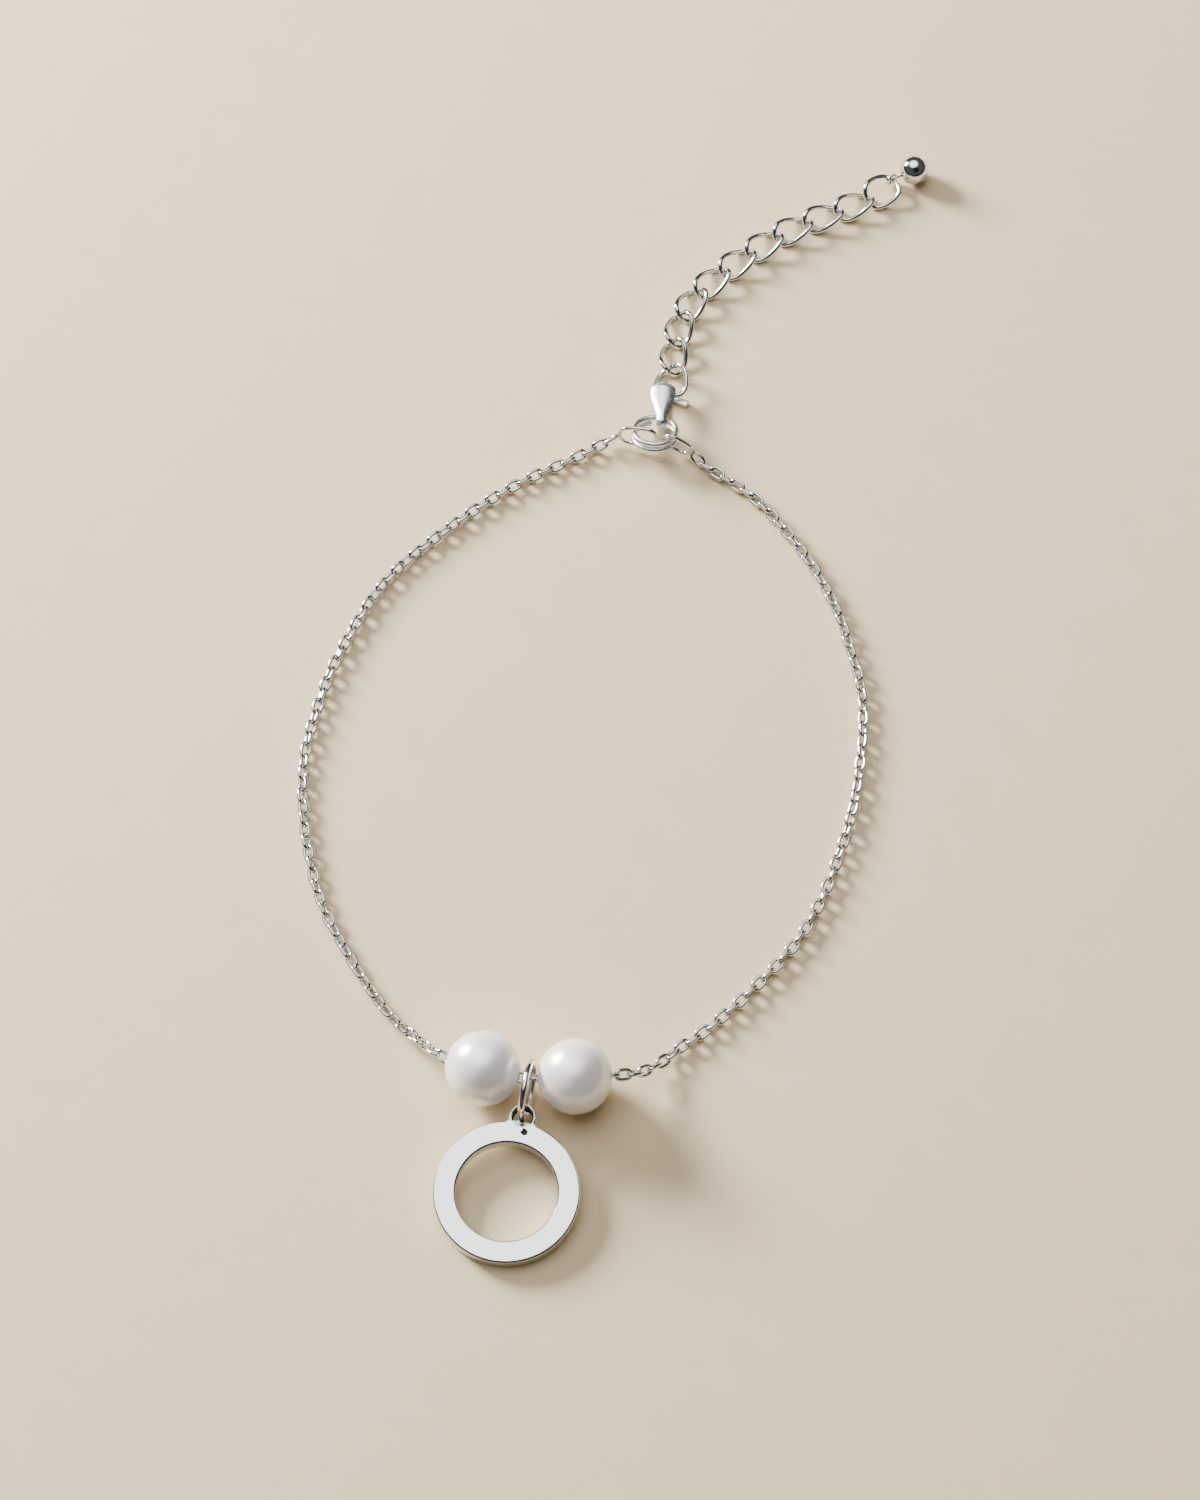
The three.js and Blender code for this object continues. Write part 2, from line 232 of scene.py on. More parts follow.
def silver(name, bright, dull, roughness, mark_mm, depth):
    """Rhodium-plated sterling silver, barrel polished: a near-white mirror. Faint cloudy patches about a
    millimetre across make it a little duller here and there, and fine polishing marks, drawn coarser
    than real ones so that they show, break the reflections slightly."""
    material, tree, shader, place = new_material(name)
    clouds = add_node(tree, "ShaderNodeTexNoise", {"Scale": 0.7 / MM, "Detail": 3.0}, {"Vector": place})
    marks = add_node(tree, "ShaderNodeTexNoise", {"Scale": 1 / (mark_mm * MM), "Detail": 4.0, "Roughness": 0.6},
                     {"Vector": place})
    tint = add_node(tree, "ShaderNodeMix", {"data_type": "RGBA"})
    tree.links.new(clouds.outputs["Fac"], tint.inputs["Factor"])
    tint.inputs[6].default_value = bright
    tint.inputs[7].default_value = dull
    gloss = add_node(tree, "ShaderNodeMapRange", {"From Min": 0.3, "From Max": 0.7, "To Min": roughness * 0.75,
                                                  "To Max": roughness * 1.4}, {"Value": marks.outputs["Fac"]})
    bump = add_node(tree, "ShaderNodeBump", {"Strength": 0.25, "Distance": depth * MM},
                    {"Height": marks.outputs["Fac"]})
    shader.inputs["Metallic"].default_value = 1.0
    tree.links.new(tint.outputs[2], shader.inputs["Base Color"])
    tree.links.new(gloss.outputs["Result"], shader.inputs["Roughness"])
    tree.links.new(bump.outputs["Normal"], shader.inputs["Normal"])
    return material


def nacre(name, white, blush):
    """Cultured pearl nacre: layers of aragonite platelets give a soft wide lustre over a milky body, here
    a part-metallic shader with a clear coat. Rose and cream clouds of two to three millimetres and
    growth ripples of about a millimetre keep it from looking like plastic."""
    material, tree, shader, place = new_material(name)
    clouds = add_node(tree, "ShaderNodeTexNoise", {"Scale": 0.35 / MM, "Detail": 2.0}, {"Vector": place})
    ripples = add_node(tree, "ShaderNodeTexNoise", {"Scale": 1.1 / MM, "Detail": 2.0}, {"Vector": place})
    tint = add_node(tree, "ShaderNodeMix", {"data_type": "RGBA"})
    tint.inputs[6].default_value = white
    tint.inputs[7].default_value = blush
    amount = add_node(tree, "ShaderNodeMapRange", {"From Min": 0.35, "From Max": 0.65},
                      {"Value": clouds.outputs["Fac"]})
    tree.links.new(amount.outputs["Result"], tint.inputs["Factor"])
    gloss = add_node(tree, "ShaderNodeMapRange", {"To Min": 0.28, "To Max": 0.34}, {"Value": ripples.outputs["Fac"]})
    for socket, value in (("Metallic", 0.24), ("IOR", 1.53), ("Coat Weight", 0.45), ("Coat Roughness", 0.22),
                          ("Subsurface Weight", 0.4), ("Subsurface Scale", 1.6 * MM)):
        shader.inputs[socket].default_value = value
    tree.links.new(tint.outputs[2], shader.inputs["Base Color"])
    tree.links.new(gloss.outputs["Result"], shader.inputs["Roughness"])
    shader.inputs["Subsurface Radius"].default_value = (1.0, 0.9, 0.85)
    return material


# a silver finish: its material's name, its colours' property, roughness, mark width in mm and mark depth in mm
SILVERS = {
    "chain silver": ("drawn silver wire, polished", "chain", 0.07, 0.15, 0.003),
    "wire silver": ("sterling silver wire, barrel polished", "wire", 0.09, 0.2, 0.003),
    "sheet silver": ("sterling silver sheet, mirror polished", "sheet", 0.12, 0.3, 0.002),
    "cast silver": ("cast sterling silver, satin polished", "cast", 0.27, 0.3, 0.002),
    # painted shade: a near-black silver for the pendant's pit and the eye's wall, where shade falls
    "painted_shade": ("painted shade on silver in the recesses", "painted_shade", 0.35, 0.1, 0.004),
}


def finish_of(key):
    """The material of a finish, made the first time that it is asked for."""
    if key not in made_finishes:
        colours = bpy.context.scene.bracelet_colours
        if key == "nacre":
            made_finishes[key] = nacre("white cultured pearl nacre", colours.nacre_white, colours.nacre_blush)
        else:
            name, group, roughness, mark_mm, depth = SILVERS[key]
            made_finishes[key] = silver(name, getattr(colours, group + "_bright"),
                                        getattr(colours, group + "_dull"), roughness, mark_mm, depth)
    return made_finishes[key]


made_finishes = {}


# ---------------------------------------------------------------- sizes

def size(label, words, default):
    """A length property in metres."""
    return FloatProperty(name=label, description=words, default=default * MM, min=0.0, precision=5,
                         unit="LENGTH", subtype="DISTANCE")


def angle(label, words, default):
    """An angle property, with its default in degrees."""
    return FloatProperty(name=label, description=words, default=math.radians(default), unit="ROTATION",
                         subtype="ANGLE")


def colour(label, words, hex_colour):
    """A colour property, with its default as an sRGB hex colour."""
    return FloatVectorProperty(name=label, description=words, subtype="COLOR", size=4, min=0.0, max=1.0,
                               default=linear(hex_colour))


def node_middle(node):
    """The middle of a CAD node's box, in millimetres."""
    low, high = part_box(node)
    return (np.array(low) + np.array(high)) / 2 / MM


class BraceletSizes(bpy.types.PropertyGroup):
    """Sizes of the bracelet's pieces."""
    link_wire: size("Chain wire", "Thickness of the chain links' wire", 0.37)
    link_length: size("Chain link length", "Outer length of a chain link", 1.8)
    link_width: size("Chain link width", "Outer width of a chain link", 1.2)
    link_pitch: size("Chain pitch", "Distance between neighbouring links' middles", 1.14)
    pearl_hole: size("Pearl hole", "Radius of the drilled hole in a pearl", 0.68)
    extender_wire: size("Extender wire", "Thickness of the extender links' wire", 0.48)
    extender_width: size("Extender link half width", "Half width of a link's centre line", 1.2)
    jump_ring_wire: size("Jump ring wire", "Thickness of the pendant's jump ring", 0.6)
    jump_ring_radius: size("Jump ring radius", "Radius of the jump ring's centre line", 2.6)
    split_ring_wire: size("Split ring wire", "Thickness of the split ring's wire", 0.54)
    split_ring_radius: size("Split ring radius", "Radius of the split ring's centre line", 1.98)
    end_link_wire: size("End link wire", "Thickness of the chain's two end links", 0.36)
    ball_radius: size("Ball radius", "Radius of the extender's end ball", 1.4)
    pendant_outer: size("Pendant radius", "Outer radius of the ring pendant", 6.33)
    pendant_inner: size("Pendant hole", "Radius of the ring pendant's hole", 4.38)
    pendant_thickness: size("Pendant thickness", "Thickness of the ring pendant", 1.4)


class BraceletColours(bpy.types.PropertyGroup):
    """Colours of the finishes: each silver has a bright part and duller clouds."""
    chain_bright: colour("Chain", "Bright part of the chain links", "E8E9EA")
    chain_dull: colour("Chain, dull", "Duller clouds on the chain links", "C6C8CA")
    wire_bright: colour("Wire", "Bright part of the rings and the extender", "E6E7E8")
    wire_dull: colour("Wire, dull", "Duller clouds on the rings and the extender", "D0D2D4")
    sheet_bright: colour("Pendant", "Bright part of the ring pendant", "E9EAEB")
    sheet_dull: colour("Pendant, dull", "Duller clouds on the ring pendant", "DFE1E3")
    cast_bright: colour("Clasp", "Bright part of the clasp and the split ring", "E9EAEB")
    cast_dull: colour("Clasp, dull", "Duller clouds on the clasp and the split ring", "DBDDDF")
    # painted shade: near-black colours for the pendant's pit and the eye's wall, where shade falls
    painted_shade_bright: colour("Recess", "Lighter part of the pit and the eye's wall", "3A3835")
    painted_shade_dull: colour("Recess, dark", "Darker part of the pit and the eye's wall", "1E1C1B")
    nacre_white: colour("Pearl", "Body colour of the pearls", "FFFDFB")
    nacre_blush: colour("Pearl blush", "Rose clouds on the pearls", "F8EEEC")


class BraceletStage(bpy.types.PropertyGroup):
    """Floor, lights and camera."""
    floor_colour: colour("Floor colour", "Colour of the floor", "DEC9A3")
    key_power: FloatProperty(name="Key power", description="Power of the large light, in watts", default=13.8,
                             min=0.0)
    key_size: FloatProperty(name="Key size", description="Width of the large light", default=0.17, min=0.01,
                            unit="LENGTH", subtype="DISTANCE")
    camera_elevation: angle("Camera elevation", "Height of the camera over the horizon", 63.5)
    camera_distance: FloatProperty(name="Camera distance", description="From the camera to the object",
                                   default=0.4, min=0.05, unit="LENGTH", subtype="DISTANCE")
    camera_lens: FloatProperty(name="Camera lens", description="Focal length in millimetres", default=106.4,
                               min=1.0)


# the chain's centre line in millimetres, from the left end link round to the right one
CHAIN_ROUTE = [
    (-0.72, 25.45, 1.25), (-2.6, 24.6, 0.66), (-5.2, 23.2, 0.56), (-9.4, 21.0, 0.56), (-13.0, 18.6, 0.56),
    (-16.6, 15.7, 0.56), (-20.3, 12.3, 0.56), (-22.7, 9.3, 0.56), (-24.8, 5.4, 0.56), (-26.6, 1.3, 0.56),
    (-27.7, -2.3, 0.56), (-28.7, -6.9, 0.56), (-28.9, -10.3, 0.56), (-28.7, -13.6, 0.56), (-28.1, -17.4, 0.56),
    (-26.8, -22.2, 0.56), (-24.9, -26.1, 0.56), (-22.9, -29.5, 0.56), (-20.9, -32.4, 0.6), (-19.3, -34.2, 0.9),
    (-17.7, -35.9, 1.85), (-16.4, -37.35, 2.95), (-15.3, -38.08, 3.28), (-12.3, -38.95, 3.3), (-9.6, -39.67, 3.3),
    (-7.4, -39.81, 3.3), (-4.36, -39.7, 3.3), (-1.4, -39.59, 3.27), (0.2, -39.3, 2.85), (1.7, -38.6, 1.9),
    (3.2, -37.4, 1.0), (4.8, -35.9, 0.62), (6.7, -34.5, 0.56), (9.2, -32.3, 0.56), (11.5, -30.0, 0.56),
    (13.7, -27.6, 0.56), (15.6, -25.1, 0.56), (17.3, -21.9, 0.56), (18.7, -18.4, 0.56), (20.4, -13.0, 0.56),
    (21.2, -8.4, 0.56), (21.6, -3.8, 0.56), (21.4, 0.0, 0.56), (20.6, 3.4, 0.56), (19.7, 6.8, 0.56),
    (17.5, 11.7, 0.56), (14.6, 16.2, 0.56), (11.9, 19.4, 0.56), (9.3, 21.4, 0.56), (7.4, 22.8, 0.66),
    (6.5, 23.6, 1.0),
]


# ---------------------------------------------------------------- chain and pearls

class BRACELET_OT_chain(bpy.types.Operator):
    """Fine cable chain: one oval link repeated along the route, each a quarter turn from the last"""
    bl_idname = "bracelet.chain"
    bl_label = "Chain"

    def execute(self, context):
        sizes = context.scene.bracelet_sizes
        wire, pitch = sizes.link_wire / MM, sizes.link_pitch / MM
        path = oval((sizes.link_length / MM - wire) / 2, (sizes.link_width / MM - wire) / 2, 0.4, 0, 0, 18)
        link, quads = tube(path, wire / 2, 6, True)
        route = spline(np.array(CHAIN_ROUTE), 24)
        steps = np.linalg.norm(np.diff(route, axis=0), axis=1)
        run = np.concatenate([[0], np.cumsum(steps)])
        count = int(round((run[-1] - pitch * 0.35) / pitch))
        at = pitch * 0.5 + (run[-1] - pitch) * np.arange(count) / (count - 1)
        middle = np.stack([np.interp(at, run, route[:, k]) for k in range(3)], axis=-1)
        ahead = np.stack([np.interp(at + 0.2, run, route[:, k]) for k in range(3)], axis=-1)
        behind = np.stack([np.interp(at - 0.2, run, route[:, k]) for k in range(3)], axis=-1)
        along = unit(ahead - behind)
        side = unit(np.cross((0, 0, 1), along))
        over = np.cross(along, side)
        # links lean 45 degrees to each side in turn, as a chain rests, except just past the right pearl,
        # where they lie flat and stand on edge in turn, and the whole rolls slightly to and fro
        lean = 45 - 35 * np.exp(-((at - 113) / 16) ** 2) + 14 * np.sin(at / 5.1) + 8 * np.sin(at * 1.3)
        roll = np.radians(90 * (np.arange(count) % 2) + lean)[:, None]
        across = np.cos(roll) * side + np.sin(roll) * over
        square = np.cross(along, across)
        axes = np.stack([along, across, square], axis=1)
        points = middle[:, None] + np.einsum("vk,nkc->nvc", link, axes)
        shift = (np.arange(count) * len(link))[:, None, None]
        piece("chain_links", (points.reshape(-1, 3), (quads[None] + shift).reshape(-1, 4)),
              finish_of("chain silver"), "chain")
        return {"FINISHED"}


class BRACELET_OT_pearls(bpy.types.Operator):
    """Two drilled pearls: a circle's arc from hole rim to hole rim, turned about the hole's axis and
    pushed in and out by a few hundredths of a millimetre by low waves"""
    bl_idname = "bracelet.pearls"
    bl_label = "Pearls"

    def execute(self, context):
        hole = context.scene.bracelet_sizes.pearl_hole / MM
        for node, drill in (("pearl_left", -15), ("pearl_right", 2)):
            low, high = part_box(node)
            radius = (high.z - low.z) / 2 / MM
            rim = math.degrees(math.asin(hole / radius))
            arc = angles(72, rim, 180 - rim, True)
            profile = np.stack([radius * np.sin(arc), radius * np.cos(arc)], axis=-1)
            lip = np.array([[hole - 0.06, profile[-1, 1] + 0.1], [hole - 0.08, profile[0, 1] - 0.1]])
            points, quads = revolved(np.vstack([profile, lip]), 96, True)
            outward = unit(points)
            waves = (np.sin(outward[:, 0] * 2.6 + drill) * np.cos(outward[:, 1] * 2.2) * 0.012
                     + np.sin(outward[:, 2] * 3.1 + 0.5 * drill) * 0.01) - 0.022
            points = turned(turned(points + outward * waves[:, None], "Y", 90), "Z", drill)
            centre = node_middle(node)
            piece(node + "_bead", (points + centre, quads), finish_of("nacre"), node)
        return {"FINISHED"}


# ---------------------------------------------------------------- pendant and jump ring

PENDANT_PLACE = (-10.2, -49.57)
PENDANT_TURN = -11.5
PENDANT_TILT = 4.0
CAD_CHAMFER = 0.12
LUG_RADIUS = 1.2
LUG_REACH = 6.82
LUG_FILLET = 0.3
EYE_RADIUS = 0.86
CHAMFER = 0.15
PIT_PLACE = (0.42, 5.5)
PIT_TURN = 25.0
PIT_HALF_WIDTH, PIT_LENGTH, PIT_DEPTH = 0.25, 0.34, 0.24
JUMP_RING_REACH = 8.85
JUMP_RING_LEAN = 3.0


def to_pendant_place(points):
    """Turns points from the pendant's own plan, lug towards +Y, to where it lies."""
    return turned(points, "Z", PENDANT_TURN) + np.array([*PENDANT_PLACE, 0])


class BRACELET_OT_pendant(bpy.types.Operator):
    """Flat ring with a lug: its face is a ruled sheet between the outlines, with a drop-shaped pit, and
    narrow chamfers and straight walls follow each outline"""
    bl_idname = "bracelet.pendant"
    bl_label = "Ring pendant"

    def execute(self, context):
        sizes = context.scene.bracelet_sizes
        outer, inner = sizes.pendant_outer / MM, sizes.pendant_inner / MM
        thick = sizes.pendant_thickness / MM
        edge = CHAMFER
        # where the fillet between lug and disc touches each of them
        to_disc, to_lug = outer + LUG_FILLET, LUG_RADIUS + LUG_FILLET
        fillet_y = (to_disc ** 2 - to_lug ** 2 + LUG_REACH ** 2) / (2 * LUG_REACH)
        fillet_x = math.sqrt(to_disc ** 2 - fillet_y ** 2)
        disc_angle = math.degrees(math.atan2(fillet_y, fillet_x))
        lug_angle = math.degrees(math.atan2(fillet_y - LUG_REACH, fillet_x))

        def circle_part(centre, radius, start, end, count, inward):
            turn = angles(count, start, end, True)
            way = np.stack([np.cos(turn), np.sin(turn)], axis=-1)
            return np.array(centre) + radius * way, way * (-1 if inward else 1)

        # outline of the whole plate, anticlockwise, as points with their outward directions
        disc = circle_part((0, 0), outer, 180 - disc_angle, 360 + disc_angle, 220, False)
        right = circle_part((fillet_x, fillet_y), LUG_FILLET, 180 + disc_angle, 180 + lug_angle, 9, True)
        lug = circle_part((0, LUG_REACH), LUG_RADIUS, lug_angle, 180 - lug_angle, 48, False)
        left = circle_part((-fillet_x, fillet_y), LUG_FILLET, -lug_angle, -disc_angle, 9, True)
        under_lug = circle_part((0, 0), outer, disc_angle, 180 - disc_angle, 25, False)
        rim = [np.vstack([disc[k], right[k][1:-1], lug[k], left[k][1:-1]]) for k in (0, 1)]
        hole_turn = np.concatenate([angles(220, 180 - disc_angle, 360 + disc_angle, True),
                                    angles(25, disc_angle, 180 - disc_angle, True)[1:-1]])
        hole = [np.stack([inner * np.cos(hole_turn), inner * np.sin(hole_turn)], axis=-1),
                -np.stack([np.cos(hole_turn), np.sin(hole_turn)], axis=-1)]
        # the lug's outer boundary runs up the right fillet, round the lug and back along the disc's arc
        lug_loop = np.vstack([right[0] - edge * right[1], (lug[0] - edge * lug[1])[1:-1],
                              left[0] - edge * left[1], under_lug[0][::-1][1:-1]])
        from_eye = lug_loop - (0, LUG_REACH)
        eye_way = unit(from_eye)
        eye = [np.array((0, LUG_REACH)) + EYE_RADIUS * eye_way, -eye_way]

        def pit(plan):
            """Depth of the drop-shaped pit at each point of the plan."""
            local = plan - PIT_PLACE
            cos, sin = math.cos(math.radians(PIT_TURN)), math.sin(math.radians(PIT_TURN))
            across, up = local[..., 0] * cos + local[..., 1] * sin, -local[..., 0] * sin + local[..., 1] * cos
            width = PIT_HALF_WIDTH * np.clip(1 - np.clip(up, 0, None) / PIT_LENGTH, 0.02, 1)
            reach = np.sqrt((across / width) ** 2 + (np.clip(up, None, 0) / PIT_HALF_WIDTH) ** 2)
            return PIT_DEPTH * np.clip((1.1 - reach) / 0.25, 0, 1) ** 0.7 * (up < PIT_LENGTH)

        def sheet(inside, outside, rows):
            blend = rows[:, None, None]
            plan = inside[None] * (1 - blend) + outside[None] * blend
            return plan, grid_faces(len(rows), len(inside), False, True)

        def face(plan, quads, top):
            height = thick - pit(plan) if top else np.zeros(plan.shape[:2])
            points = np.concatenate([plan, height[..., None]], axis=-1).reshape(-1, 3)
            return points, quads

        def wall(outline):
            """The straight wall between a narrow flat chamfer, slightly eased, at each edge."""
            ease = edge * 0.12
            out = np.array([-edge, -edge + ease, -ease * 0.7, 0, 0, -ease * 0.7, -edge + ease, -edge])
            up = np.array([0, ease * 0.7, edge - ease, edge])
            up = np.concatenate([up, thick - up[::-1]])
            plan = outline[0][None] + outline[1][None] * out[:, None, None]
            height = np.broadcast_to(up[:, None, None], (*plan.shape[:2], 1))
            points = np.concatenate([plan, height], axis=-1).reshape(-1, 3)
            return points, grid_faces(len(up), len(outline[0]), False, True)

        rows = np.concatenate([[0, 0.01], np.linspace(0.03, 0.97, 26), [0.99, 1]])
        ring_outside = np.vstack([disc[0] - edge * disc[1], under_lug[0][1:-1]])
        ring = sheet(hole[0] - edge * hole[1], ring_outside, rows)
        lug_sheet = sheet(eye[0] - edge * eye[1], lug_loop, np.append(rows[:-1:3], 1.0))
        points, quads = joined(face(*ring, True), face(*ring, False), face(*lug_sheet, True),
                               face(*lug_sheet, False), wall(rim), wall(hole), wall(eye))
        # the pit's walls and floor and the eye's wall get a near-black silver: painted shade, where these recesses
        # lie in shadow
        middle = points[quads].mean(axis=1)
        from_eye = np.hypot(middle[:, 0], middle[:, 1] - LUG_REACH)
        painted_shade_faces = (pit(middle[:, :2]) > 0.06) & (middle[:, 2] > thick / 2)
        painted_shade_faces |= (from_eye < EYE_RADIUS + 0.01) & (middle[:, 2] < thick - edge)
        points = turned(points, "X", PENDANT_TILT)
        points[:, 2] += (outer - CAD_CHAMFER) * math.sin(math.radians(PENDANT_TILT))
        piece("pendant_ring", (to_pendant_place(points), quads), finish_of("sheet silver"), "ring_pendant",
              25, (finish_of("painted_shade"), painted_shade_faces))
        return {"FINISHED"}


class BRACELET_OT_jump_ring(bpy.types.Operator):
    """Jump ring: round wire along a circle, closed all round"""
    bl_idname = "bracelet.jump_ring"
    bl_label = "Jump ring"

    def execute(self, context):
        sizes = context.scene.bracelet_sizes
        radius, wire = sizes.jump_ring_radius / MM, sizes.jump_ring_wire / MM
        turn = angles(144)
        circle = np.stack([0 * turn, radius * np.cos(turn), radius * np.sin(turn)], axis=-1)
        points, quads = tube(circle, wire / 2, 24, True, (1, 0, 0))
        points = turned(points, "Y", -JUMP_RING_LEAN)
        height = radius * math.cos(math.radians(JUMP_RING_LEAN)) + wire / 2
        points = to_pendant_place(points + (0, JUMP_RING_REACH, height))
        piece("jump_ring_wire", (points, quads), finish_of("wire silver"), "jump_ring")
        return {"FINISHED"}


# ---------------------------------------------------------------- split ring, end links and clasp

SPLIT_RING_PLACE = (2.93, 25.41, 1.78)
SPLIT_RING_TILT = 20.0
TURN_SPACING = 0.66
SLOPE_AT = 72.0
SLOPE_SPAN = 44.0


class BRACELET_OT_split_ring(bpy.types.Operator):
    """Split ring: wire along a circle for nearly two turns, which climbs one turn's spacing on a short
    slope"""
    bl_idname = "bracelet.split_ring"
    bl_label = "Split ring"

    def execute(self, context):
        sizes = context.scene.bracelet_sizes
        radius, wire = sizes.split_ring_radius / MM, sizes.split_ring_wire / MM
        clear = SLOPE_SPAN / 2 + 3 + math.degrees(wire / 2 / radius)
        turn = np.linspace(SLOPE_AT + clear, SLOPE_AT + 720 - clear, 200)
        part = np.clip((turn - SLOPE_AT - 360) / SLOPE_SPAN + 0.5, 0, 1)
        rise = TURN_SPACING * (part ** 2 * (3 - 2 * part) - 0.5)
        turn = np.radians(turn)
        path = np.stack([radius * np.cos(turn), radius * np.sin(turn), rise], axis=-1)
        points, quads = tube(path, wire / 2, 20, False)
        points = turned(points, "X", -SPLIT_RING_TILT) + SPLIT_RING_PLACE
        piece("split_ring_wire", (points, quads), finish_of("cast silver"), "split_ring")
        return {"FINISHED"}


END_LINKS = {
    "end_link_left": {"from": (-0.36, 25.42, 1.55), "to": (3.1, 24.81, 2.1), "lean": 10},
    "end_link_right": {"from": (3.74, 24.6, 2.6), "to": (6.2, 23.8, 1.15), "lean": -5},
}
END_LINK_HALF_HEIGHT = 1.08
OVAL_FULLNESS = 0.35


class BRACELET_OT_end_links(bpy.types.Operator):
    """The two larger oval links that join the chain's ends to the split ring"""
    bl_idname = "bracelet.end_links"
    bl_label = "End links"

    def execute(self, context):
        wire = context.scene.bracelet_sizes.end_link_wire / MM
        for node, link in END_LINKS.items():
            start, end = np.array(link["from"]), np.array(link["to"])
            half = np.linalg.norm(end - start) / 2
            path = oval(half, END_LINK_HALF_HEIGHT, OVAL_FULLNESS, 0, 0, 72)
            points, quads = tube(path, wire / 2, 16, True)
            points = turned(points, "X", -link["lean"])
            along = unit(end - start)
            side = unit(np.cross((0, 0, 1), along))
            up = np.cross(along, side)
            points = points @ np.stack([along, up, -side]) + (start + end) / 2
            piece(node + "_wire", (points, quads), finish_of("wire silver"), node)
        return {"FINISHED"}


CLASP = {"place": (3.66, 28.52), "turn": -3.0, "length": 5.06, "height": 2.4, "thick": 0.35, "corner": 0.85,
         "strap": 0.7}
HEAD_DEPTH, HEAD_WIDTH = 1.3, 2.3
TIP_WIDTH, TAPER_LENGTH = 1.08, 2.9
STUB = {"at": 1.95, "length": 2.5, "width": 0.62, "height": 0.5, "turn": -21.0}


class BRACELET_OT_clasp(bpy.types.Operator):
    """Clasp: a closed loop seen from the side as a rounded box, carried with a lens-shaped section whose
    width is the drop's outline on the back and the strap's width elsewhere, and a rounded stub"""
    bl_idname = "bracelet.clasp"
    bl_label = "Clasp"

    def execute(self, context):
        length, height, thick, corner = (CLASP[k] for k in ("length", "height", "thick", "corner"))
        middle_corner = corner - thick / 2
        flat, tall = length / 2 - corner, height / 2 - corner
        quarter = angles(14, 0, 90, True)
        cos, sin = np.cos(quarter), np.sin(quarter)
        rest = np.linspace(0, 1, 40)[1:-1]
        short = np.linspace(0, 1, 8)[1:-1]
        # side view, anticlockwise from the head's lower corner: (y, z) and its outward direction
        run = np.concatenate([
            np.stack([flat + middle_corner + 0 * short, -tall + 2 * tall * short], 1),
            np.stack([flat + middle_corner * cos, tall + middle_corner * sin], 1),
            np.stack([flat - 2 * flat * rest, tall + middle_corner + 0 * rest], 1),
            np.stack([-flat - middle_corner * sin, tall + middle_corner * cos], 1),
            np.stack([-flat - middle_corner + 0 * short, tall - 2 * tall * short], 1),
            np.stack([-flat - middle_corner * cos, -tall - middle_corner * sin], 1),
            np.stack([-flat + 2 * flat * rest, -tall - middle_corner + 0 * rest], 1),
            np.stack([flat + middle_corner * sin, -tall - middle_corner * cos], 1),
        ])
        ahead = unit(np.roll(run, -1, axis=0) - np.roll(run, 1, axis=0))
        outward = np.stack([ahead[:, 1], -ahead[:, 0]], axis=-1)
        y, z = run[:, 0], run[:, 1]
        # half width of the drop at a distance from its head: a round head, then a cosine down to the tip
        from_head = length / 2 - y
        head = 1 - (np.clip(HEAD_DEPTH - from_head, 0, HEAD_DEPTH) / HEAD_DEPTH) ** 2.6
        narrowing = np.cos(math.pi * np.clip((from_head - HEAD_DEPTH) / TAPER_LENGTH, 0, 1))
        drop = np.sqrt(head) * (HEAD_WIDTH + TIP_WIDTH + (HEAD_WIDTH - TIP_WIDTH) * narrowing) / 4
        strap = CLASP["strap"] / 2
        over = np.clip((z - (tall - 0.35)) / (middle_corner + 0.25), 0, 1)
        over = over ** 2 * (3 - 2 * over)
        half_width = strap + (np.maximum(drop, strap) - strap) * over
        # the section: flat inside, and outside a parabola across the width, higher where the drop is wide
        outer_part, inner_part = np.linspace(1, -1, 17), np.linspace(-1, 1, 13)
        across = np.concatenate([outer_part, inner_part * 0.97])[None] * half_width[:, None]
        dome = (0.05 + 0.26 * over)[:, None]
        off = np.concatenate([thick / 2 - dome * outer_part ** 2, np.full((len(y), 13), -thick / 2)], axis=1)
        points = np.stack([across, y[:, None] + outward[:, :1] * off, z[:, None] + outward[:, 1:] * off], axis=-1)
        loop = points.reshape(-1, 3), grid_faces(len(run), 30, True, True)

        end = angles(7, 0, 90, True)
        reach = np.concatenate([[0.0], STUB["length"] - 0.12 + 0.12 * np.sin(end)])
        narrow = np.concatenate([[1.0], 1 - 0.3 * (1 - np.cos(end))])
        corner_turn = angles(24)
        box = np.stack([np.sign(np.cos(corner_turn)) * np.abs(np.cos(corner_turn)) ** 0.45 * STUB["width"] / 2,
                        np.sign(np.sin(corner_turn)) * np.abs(np.sin(corner_turn)) ** 0.45 * STUB["height"] / 2], 1)
        reach = np.concatenate([[0.0], reach, [STUB["length"]]])
        narrow = np.concatenate([[0.0], narrow, [0.0]])
        body = box[None] * narrow[:, None, None]
        stub = np.concatenate([np.broadcast_to(reach[:, None, None], (*body.shape[:2], 1)), body], axis=-1)
        stub = stub.reshape(-1, 3) + (0, 0, (STUB["height"] - height) / 2)
        stub = turned(stub, "Z", STUB["turn"]) + (0, STUB["at"], 0)
        points, quads = joined(loop, (stub, grid_faces(len(reach), 24, False, True)))
        points = turned(points, "Z", CLASP["turn"]) + (*CLASP["place"], height / 2)
        piece("clasp_body", (points, quads), finish_of("cast silver"), "clasp", 60)
        return {"FINISHED"}


# ---------------------------------------------------------------- extender and ball

